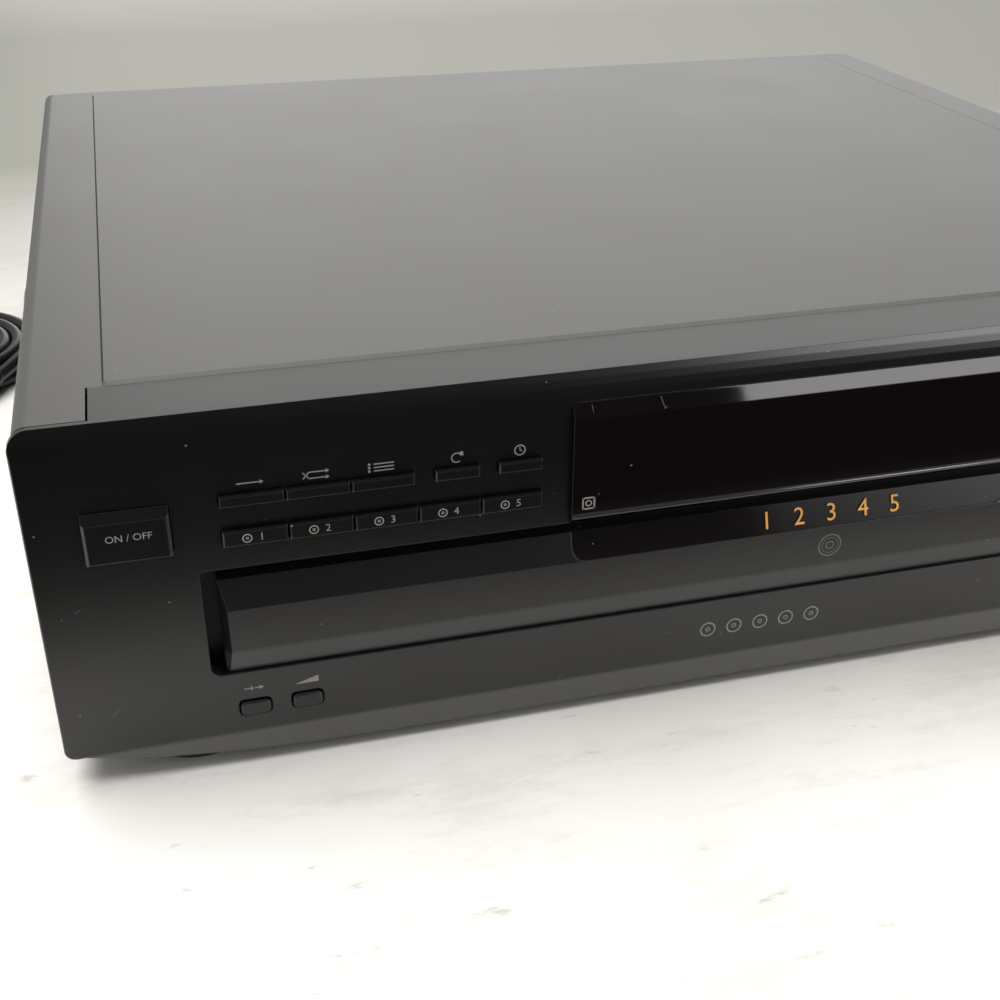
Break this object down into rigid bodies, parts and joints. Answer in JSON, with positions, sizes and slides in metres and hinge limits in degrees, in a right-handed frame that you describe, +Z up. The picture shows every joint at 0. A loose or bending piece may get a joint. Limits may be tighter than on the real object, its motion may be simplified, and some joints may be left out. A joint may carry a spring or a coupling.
{
  "type": "disc changer",
  "caption": "Full-width hi-fi changer: flat steel case, front panel with key rows and display, and a sliding tray with a turning carousel of disc wells.",
  "frame": {"origin": "on the floor under the middle of the case, its dial and its jacks", "axes": "+X to the right seen from the front, +Y to the back, +Z up"},
  "size_m": [0.5423, 0.4606, 0.1105],
  "materials": {
    "panel_plastic": "fine-grained moulded black",
    "window_smoke": "smoked gloss acrylic",
    "display_glass": "vacuum display glass",
    "board_green": "solder-masked laminate",
    "jack_plastic": "moulded black",
    "cover_steel": "satin vinyl-painted steel",
    "screw_steel": "blackened steel",
    "zinc_steel": "zinc-plated steel",
    "foot_rubber": "moulded rubber",
    "rear_steel": "satin painted steel",
    "transformer_iron": "varnished laminations",
    "cord_vinyl": "flexible black vinyl",
    "frame_plastic": "glass-filled grey plastic",
    "gear_plastic": "natural acetal",
    "motor_steel": "plated can",
    "belt_rubber": "square-cut rubber",
    "tray_plastic": "moulded black",
    "door_plastic": "satin moulded charcoal",
    "trim_gloss": "gloss black",
    "carousel_plastic": "moulded charcoal",
    "lens_glass": "coated lens",
    "key_plastic": "moulded black",
    "knob_plastic": "moulded black"
  },
  "bodies": {
    "root": {"front_panel": "panel_plastic", "display_window": "window_smoke", "display_tube": "display_glass", "front_boards": "board_green", "phones_jack": "jack_plastic", "top_cover": "cover_steel", "cover_screws": "screw_steel", "chassis": "zinc_steel", "feet": "foot_rubber", "rear_panel": "rear_steel", "main_board": "board_green", "power_transformer": "transformer_iron", "audio_jacks": "jack_plastic", "optical_jack": "jack_plastic", "cord_bushing": "cord_vinyl", "mains_cord": "cord_vinyl", "cord_coil": "cord_vinyl", "mains_plug": "cord_vinyl", "mechanism_frame": "frame_plastic", "clamp_bridge": "zinc_steel", "loading_motor": "motor_steel", "loading_belt": "belt_rubber"},
    "tray": {"tray": "tray_plastic", "tray_door": "door_plastic", "door_trim": "trim_gloss", "table_motor": "motor_steel"},
    "carousel": {"carousel": "carousel_plastic", "carousel_gear": "gear_plastic", "hub_cap": "carousel_plastic"},
    "table_pinion": {"table_pinion": "gear_plastic"},
    "loading_gear": {"loading_gear": "gear_plastic"},
    "motor_pulley": {"motor_pulley": "gear_plastic"},
    "clamper": {"clamper": "gear_plastic"},
    "pickup": {"pickup_deck": "frame_plastic", "spindle_motor": "motor_steel", "guide_rods": "motor_steel"},
    "platter": {"platter": "frame_plastic"},
    "sled": {"laser_sled": "frame_plastic", "objective_lens": "lens_glass"},
    "jog_dial": {"jog_dial": "knob_plastic"},
    "level_knob": {"level_knob": "knob_plastic"},
    "power_button": {"power_button": "key_plastic"},
    "shuffle_key": {"shuffle_key": "key_plastic"},
    "program_key": {"program_key": "key_plastic"},
    "clear_key": {"clear_key": "key_plastic"},
    "repeat_key": {"repeat_key": "key_plastic"},
    "time_key": {"time_key": "key_plastic"},
    "disc_key_1": {"disc_key_1": "key_plastic"},
    "disc_key_2": {"disc_key_2": "key_plastic"},
    "disc_key_3": {"disc_key_3": "key_plastic"},
    "disc_key_4": {"disc_key_4": "key_plastic"},
    "disc_key_5": {"disc_key_5": "key_plastic"},
    "disc_skip_key": {"disc_skip_key": "key_plastic"},
    "exchange_key": {"exchange_key": "key_plastic"},
    "open_close_key": {"open_close_key": "key_plastic"},
    "play_key": {"play_key": "key_plastic"},
    "pause_key": {"pause_key": "key_plastic"},
    "stop_key": {"stop_key": "key_plastic"},
    "scan_key": {"scan_key": "key_plastic"},
    "fader_key": {"fader_key": "key_plastic"}
  },
  "joints": [
    {"name": "tray_slide", "type": "slide", "parent": "root", "child": "tray", "axis": [0, -1, 0], "range_m": [0, 0.2]},
    {"name": "carousel_turn", "type": "hinge", "parent": "tray", "child": "carousel", "pos_m": [0, -0.0102, 0.0383], "axis": [0, 0, 1], "continuous": true},
    {"name": "table_pinion_spin", "type": "hinge", "parent": "tray", "child": "table_pinion", "pos_m": [-0.1173, -0.13599, 0.0383], "axis": [0, 0, 1], "continuous": true},
    {"name": "loading_gear_spin", "type": "hinge", "parent": "root", "child": "loading_gear", "pos_m": [-0.1385, -0.11, 0.032], "axis": [0, 0, 1], "continuous": true},
    {"name": "motor_pulley_spin", "type": "hinge", "parent": "root", "child": "motor_pulley", "pos_m": [-0.0925, -0.11, 0.0285], "axis": [0, 0, 1], "continuous": true},
    {"name": "clamper_spin", "type": "hinge", "parent": "root", "child": "clamper", "pos_m": [0, 0.093, 0.0525], "axis": [0, 0, 1], "continuous": true},
    {"name": "pickup_lift", "type": "hinge", "parent": "root", "child": "pickup", "pos_m": [0, 0.1818, 0.0355], "axis": [-1, 0, 0], "range_deg": [0, 10]},
    {"name": "platter_spin", "type": "hinge", "parent": "pickup", "child": "platter", "pos_m": [0, 0.09357, 0.02451], "axis": [0, -0.1736, 0.9848], "continuous": true},
    {"name": "sled_slide", "type": "slide", "parent": "pickup", "child": "sled", "axis": [1, 0, 0], "range_m": [0, 0.034]},
    {"name": "jog_dial_turn", "type": "hinge", "parent": "root", "child": "jog_dial", "pos_m": [0.186, -0.19, 0.082], "axis": [0, 1, 0], "continuous": true},
    {"name": "level_knob_turn", "type": "hinge", "parent": "root", "child": "level_knob", "pos_m": [0.203, -0.19, 0.02], "axis": [0, 1, 0], "range_deg": [-150, 150]},
    {"name": "power_button_press", "type": "slide", "parent": "root", "child": "power_button", "axis": [0, 1, 0], "range_m": [0, 0.001], "stiffness_N_per_m": 150, "springref_m": -0.0005},
    {"name": "shuffle_key_press", "type": "slide", "parent": "root", "child": "shuffle_key", "axis": [0, 1, 0], "range_m": [0, 0.001], "stiffness_N_per_m": 150, "springref_m": -0.0005},
    {"name": "program_key_press", "type": "slide", "parent": "root", "child": "program_key", "axis": [0, 1, 0], "range_m": [0, 0.001], "stiffness_N_per_m": 150, "springref_m": -0.0005},
    {"name": "clear_key_press", "type": "slide", "parent": "root", "child": "clear_key", "axis": [0, 1, 0], "range_m": [0, 0.001], "stiffness_N_per_m": 150, "springref_m": -0.0005},
    {"name": "repeat_key_press", "type": "slide", "parent": "root", "child": "repeat_key", "axis": [0, 1, 0], "range_m": [0, 0.001], "stiffness_N_per_m": 150, "springref_m": -0.0005},
    {"name": "time_key_press", "type": "slide", "parent": "root", "child": "time_key", "axis": [0, 1, 0], "range_m": [0, 0.001], "stiffness_N_per_m": 150, "springref_m": -0.0005},
    {"name": "disc_key_1_press", "type": "slide", "parent": "root", "child": "disc_key_1", "axis": [0, 1, 0], "range_m": [0, 0.001], "stiffness_N_per_m": 150, "springref_m": -0.0005},
    {"name": "disc_key_2_press", "type": "slide", "parent": "root", "child": "disc_key_2", "axis": [0, 1, 0], "range_m": [0, 0.001], "stiffness_N_per_m": 150, "springref_m": -0.0005},
    {"name": "disc_key_3_press", "type": "slide", "parent": "root", "child": "disc_key_3", "axis": [0, 1, 0], "range_m": [0, 0.001], "stiffness_N_per_m": 150, "springref_m": -0.0005},
    {"name": "disc_key_4_press", "type": "slide", "parent": "root", "child": "disc_key_4", "axis": [0, 1, 0], "range_m": [0, 0.001], "stiffness_N_per_m": 150, "springref_m": -0.0005},
    {"name": "disc_key_5_press", "type": "slide", "parent": "root", "child": "disc_key_5", "axis": [0, 1, 0], "range_m": [0, 0.001], "stiffness_N_per_m": 150, "springref_m": -0.0005},
    {"name": "disc_skip_key_press", "type": "slide", "parent": "root", "child": "disc_skip_key", "axis": [0, 1, 0], "range_m": [0, 0.001], "stiffness_N_per_m": 150, "springref_m": -0.0005},
    {"name": "exchange_key_press", "type": "slide", "parent": "root", "child": "exchange_key", "axis": [0, 1, 0], "range_m": [0, 0.001], "stiffness_N_per_m": 150, "springref_m": -0.0005},
    {"name": "open_close_key_press", "type": "slide", "parent": "root", "child": "open_close_key", "axis": [0, 1, 0], "range_m": [0, 0.001], "stiffness_N_per_m": 150, "springref_m": -0.0005},
    {"name": "play_key_press", "type": "slide", "parent": "root", "child": "play_key", "axis": [0, 1, 0], "range_m": [0, 0.001], "stiffness_N_per_m": 150, "springref_m": -0.0005},
    {"name": "pause_key_press", "type": "slide", "parent": "root", "child": "pause_key", "axis": [0, 1, 0], "range_m": [0, 0.001], "stiffness_N_per_m": 150, "springref_m": -0.0005},
    {"name": "stop_key_press", "type": "slide", "parent": "root", "child": "stop_key", "axis": [0, 1, 0], "range_m": [0, 0.001], "stiffness_N_per_m": 150, "springref_m": -0.0005},
    {"name": "scan_key_press", "type": "slide", "parent": "root", "child": "scan_key", "axis": [0, 1, 0], "range_m": [0, 0.001], "stiffness_N_per_m": 150, "springref_m": -0.0005},
    {"name": "fader_key_press", "type": "slide", "parent": "root", "child": "fader_key", "axis": [0, 1, 0], "range_m": [0, 0.001], "stiffness_N_per_m": 150, "springref_m": -0.0005}
  ],
  "couplings": [
    {"joint": "table_pinion_spin", "follows": "carousel_turn", "ratio": -11.286},
    {"joint": "loading_gear_spin", "follows": "tray_slide", "rad_per_m": 83.333},
    {"joint": "motor_pulley_spin", "follows": "tray_slide", "rad_per_m": 291.67}
  ]
}
